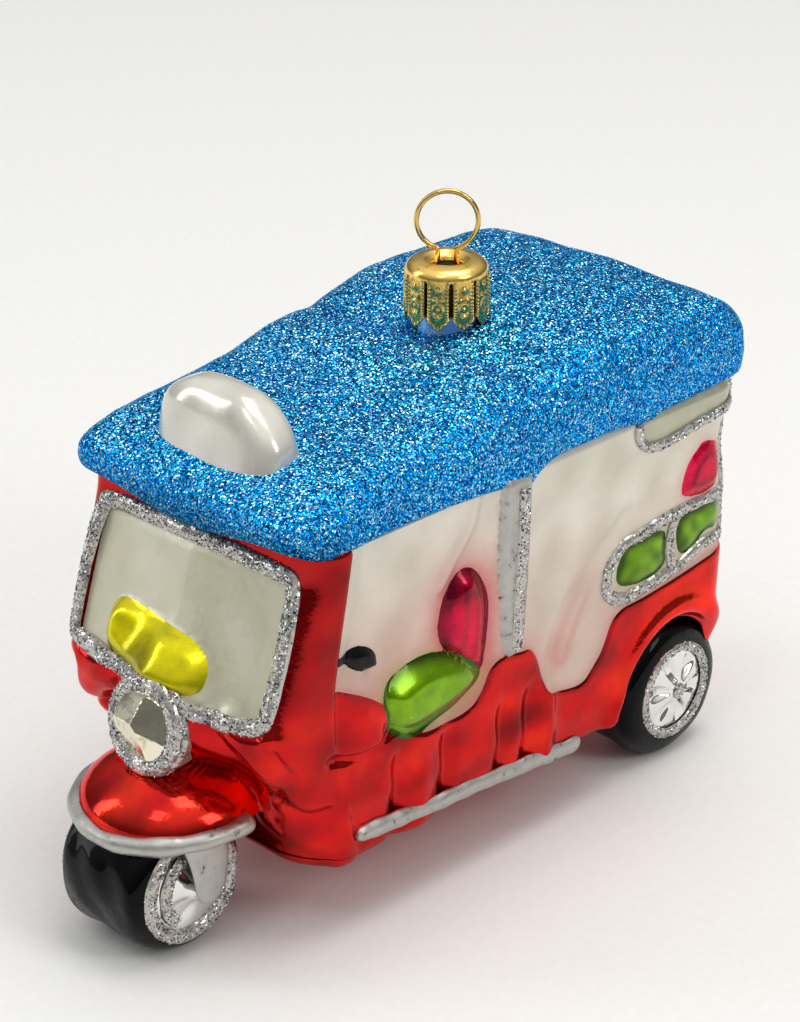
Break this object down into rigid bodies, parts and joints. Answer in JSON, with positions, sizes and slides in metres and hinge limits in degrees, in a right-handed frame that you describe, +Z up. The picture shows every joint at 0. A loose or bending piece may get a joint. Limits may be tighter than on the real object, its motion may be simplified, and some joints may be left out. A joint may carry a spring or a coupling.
{
  "type": "glass christmas tree ornament shaped as an auto rickshaw",
  "caption": "Mouth-blown glass tree ornament in the shape of a three-wheeled auto rickshaw, with a sprung crown cap and wire loop to hang it by.",
  "frame": {"origin": "bottom centre of the whole ornament's box, on the surface that its three moulded wheels stand on", "axes": "+Z up, -Y towards the nose, +X to the vehicle's left side"},
  "size_m": [0.0566, 0.12, 0.1005],
  "materials": {
    "blue_glitter": "blue lacquer over silvered glass, thick with fine blue glitter",
    "pearl_lacquer": "white satin pearl lacquer over silvered glass",
    "red_lacquer": "candy red high-gloss lacquer over silvered glass",
    "pane_satin": "grey-beige satin lacquer over silvered glass",
    "yellow_lacquer": "translucent yellow gloss lacquer",
    "pink_lacquer": "translucent pink gloss lacquer",
    "green_lacquer": "translucent lime green gloss lacquer",
    "black_lacquer": "black gloss lacquer over moulded glass",
    "mirror_silver": "silvered glass, left bare as a mirror",
    "silver_satin": "silver-grey satin paint",
    "silver_glitter": "coarse silver glitter set in clear glue",
    "clear_glass": "silvered blown glass",
    "gold_cap": "embossed gold-coloured sheet",
    "gold_wire": "gold-coloured spring wire"
  },
  "bodies": {
    "glass": {"roof_shell": "blue_glitter", "roof_sign": "pearl_lacquer", "cab_shell": "pearl_lacquer", "front_panel": "red_lacquer", "windscreen": "pane_satin", "windscreen_frame": "silver_glitter", "number_panel": "yellow_lacquer", "headlamp_housing": "silver_glitter", "headlamp_lens": "mirror_silver", "front_fender": "red_lacquer", "fender_trim": "silver_satin", "fork_left": "silver_satin", "fork_right": "silver_satin", "front_tyre": "black_lacquer", "front_hub_left": "mirror_silver", "front_hub_right": "mirror_silver", "front_hub_rings": "silver_glitter", "lower_body": "red_lacquer", "sill_left": "silver_satin", "sill_right": "silver_satin", "pillar_left": "silver_satin", "pillar_right": "silver_satin", "pillar_glitter": "silver_glitter", "driver_backrests": "pink_lacquer", "driver_cushions": "green_lacquer", "handlebar_grips": "black_lacquer", "window_band": "pane_satin", "window_trim": "silver_glitter", "passenger_rails": "silver_glitter", "passenger_backrests": "pink_lacquer", "passenger_cushions": "green_lacquer", "rear_tyre_left": "black_lacquer", "rear_tyre_right": "black_lacquer", "rear_hub_left": "mirror_silver", "rear_hub_right": "mirror_silver", "rear_hub_rings": "silver_glitter", "neck": "clear_glass"},
    "cap": {"crown_cap": "gold_cap"},
    "hanger": {"wire_hanger": "gold_wire"}
  },
  "joints": [
    {"name": "cap_lift", "type": "slide", "parent": "glass", "child": "cap", "axis": [0, 0, 1], "range_m": [0, 0.024]},
    {"name": "hanger_turn", "type": "hinge", "parent": "cap", "child": "hanger", "pos_m": [0, 0.0181, 0.09], "axis": [0, 0, 1], "continuous": true}
  ]
}
